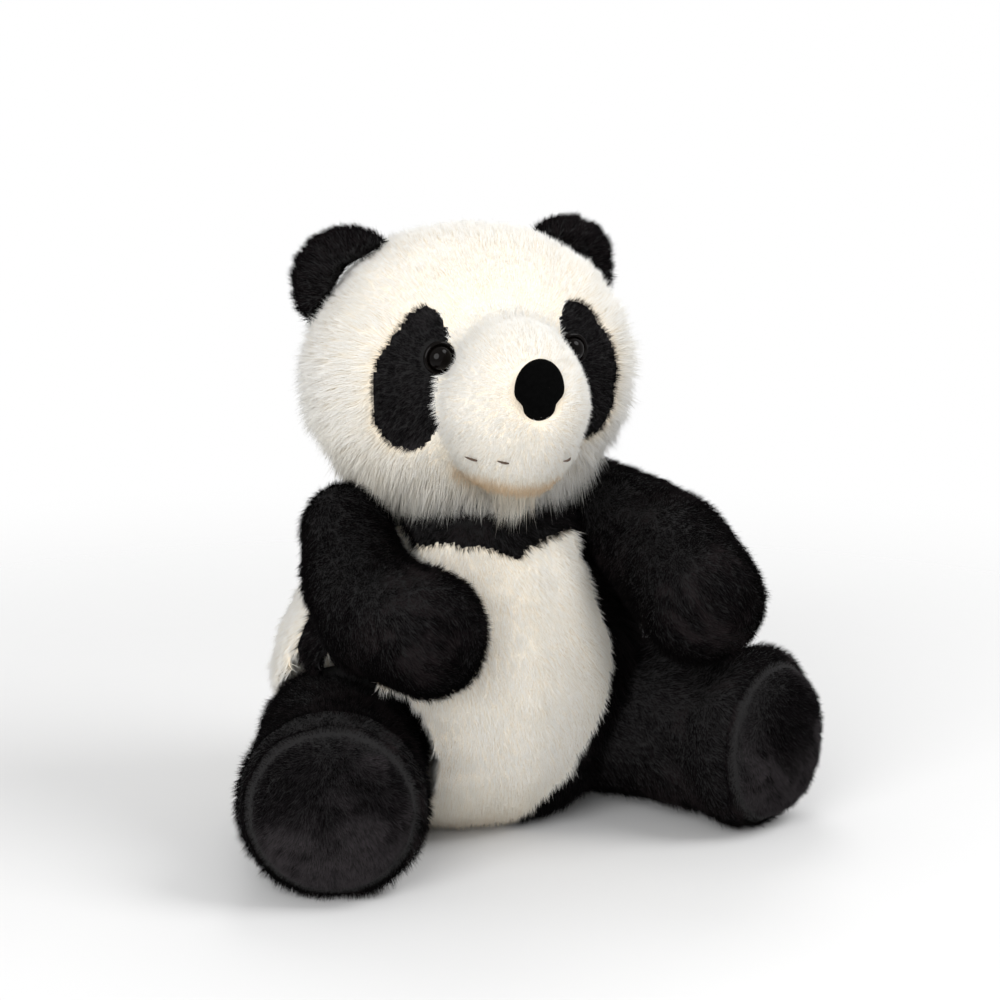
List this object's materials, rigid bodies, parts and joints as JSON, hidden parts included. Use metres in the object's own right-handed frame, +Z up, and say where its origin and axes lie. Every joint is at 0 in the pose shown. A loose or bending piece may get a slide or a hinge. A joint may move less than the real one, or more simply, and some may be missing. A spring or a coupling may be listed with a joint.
{
  "type": "plush panda",
  "caption": "Seated stuffed panda with round head, bent arms, splayed legs and flat foot soles; sewn neck, shoulders and hips flex.",
  "frame": {"origin": "middle of the part's footprint, on the ground that it sits on", "axes": "+Z up, the face towards -Y, the panda's own left towards +X"},
  "size_m": [0.2942, 0.2176, 0.276],
  "materials": {
    "white_plush": "cream-white long-pile plush, soft and matt",
    "black_plush": "black long-pile plush with a brownish grey sheen on the tips",
    "black_short_pile": "black short-pile plush",
    "polyester_fill": "loose white polyester fibre fill",
    "pellet_bag_cloth": "plain woven bag of plastic pellets",
    "eye_plastic": "glossy very dark brown moulded eye",
    "washer_plastic": "plain white lock washer",
    "nose_flock": "dead matt black flock",
    "mouth_thread": "dark brown sewing thread"
  },
  "bodies": {
    "torso": {"chest_yoke": "black_plush", "belly_panel": "white_plush", "back_panel": "white_plush", "tail": "white_plush", "pellet_bag": "pellet_bag_cloth", "torso_stuffing": "polyester_fill"},
    "neck": {"neck_stuffing": "polyester_fill"},
    "head": {"face_panel": "white_plush", "head_back_panel": "white_plush", "muzzle_panel": "white_plush", "chin_panel": "white_plush", "head_stuffing": "polyester_fill", "nose": "nose_flock", "mouth_thread": "mouth_thread", "eye_left": "eye_plastic", "eye_rim_left": "eye_plastic", "eye_washer_left": "washer_plastic", "eye_patch_left": "black_short_pile", "ear_front_left": "black_plush", "ear_back_left": "black_plush", "eye_right": "eye_plastic", "eye_rim_right": "eye_plastic", "eye_washer_right": "washer_plastic", "eye_patch_right": "black_short_pile", "ear_front_right": "black_plush", "ear_back_right": "black_plush"},
    "arm_left": {"arm_outer_left": "black_plush", "arm_inner_left": "black_plush", "arm_stuffing_left": "polyester_fill"},
    "leg_left": {"leg_upper_left": "black_plush", "leg_lower_left": "black_plush", "foot_sole_left": "black_short_pile", "leg_stuffing_left": "polyester_fill"},
    "arm_right": {"arm_outer_right": "black_plush", "arm_inner_right": "black_plush", "arm_stuffing_right": "polyester_fill"},
    "leg_right": {"leg_upper_right": "black_plush", "leg_lower_right": "black_plush", "foot_sole_right": "black_short_pile", "leg_stuffing_right": "polyester_fill"}
  },
  "joints": [
    {"name": "head_turn", "type": "hinge", "parent": "torso", "child": "neck", "pos_m": [0, -0.004, 0.163], "axis": [0, 0, 1], "range_deg": [-15, 15], "stiffness_Nm_per_rad": 1.5},
    {"name": "head_nod", "type": "hinge", "parent": "neck", "child": "head", "pos_m": [0, -0.004, 0.163], "axis": [1, 0, 0], "range_deg": [-7, 7], "stiffness_Nm_per_rad": 2.5},
    {"name": "arm_raise_left", "type": "hinge", "parent": "torso", "child": "arm_left", "pos_m": [0.062, -0.004, 0.143], "axis": [-1, 0, 0], "range_deg": [-2, 15], "stiffness_Nm_per_rad": 0.6},
    {"name": "leg_spread_left", "type": "hinge", "parent": "torso", "child": "leg_left", "pos_m": [0.066, -0.005, 0.041], "axis": [0, 0, 1], "range_deg": [-5, 12], "stiffness_Nm_per_rad": 0.8},
    {"name": "arm_raise_right", "type": "hinge", "parent": "torso", "child": "arm_right", "pos_m": [-0.062, -0.004, 0.143], "axis": [-1, 0, 0], "range_deg": [-2, 15], "stiffness_Nm_per_rad": 0.6},
    {"name": "leg_spread_right", "type": "hinge", "parent": "torso", "child": "leg_right", "pos_m": [-0.066, -0.005, 0.041], "axis": [0, 0, -1], "range_deg": [-5, 12], "stiffness_Nm_per_rad": 0.8}
  ]
}
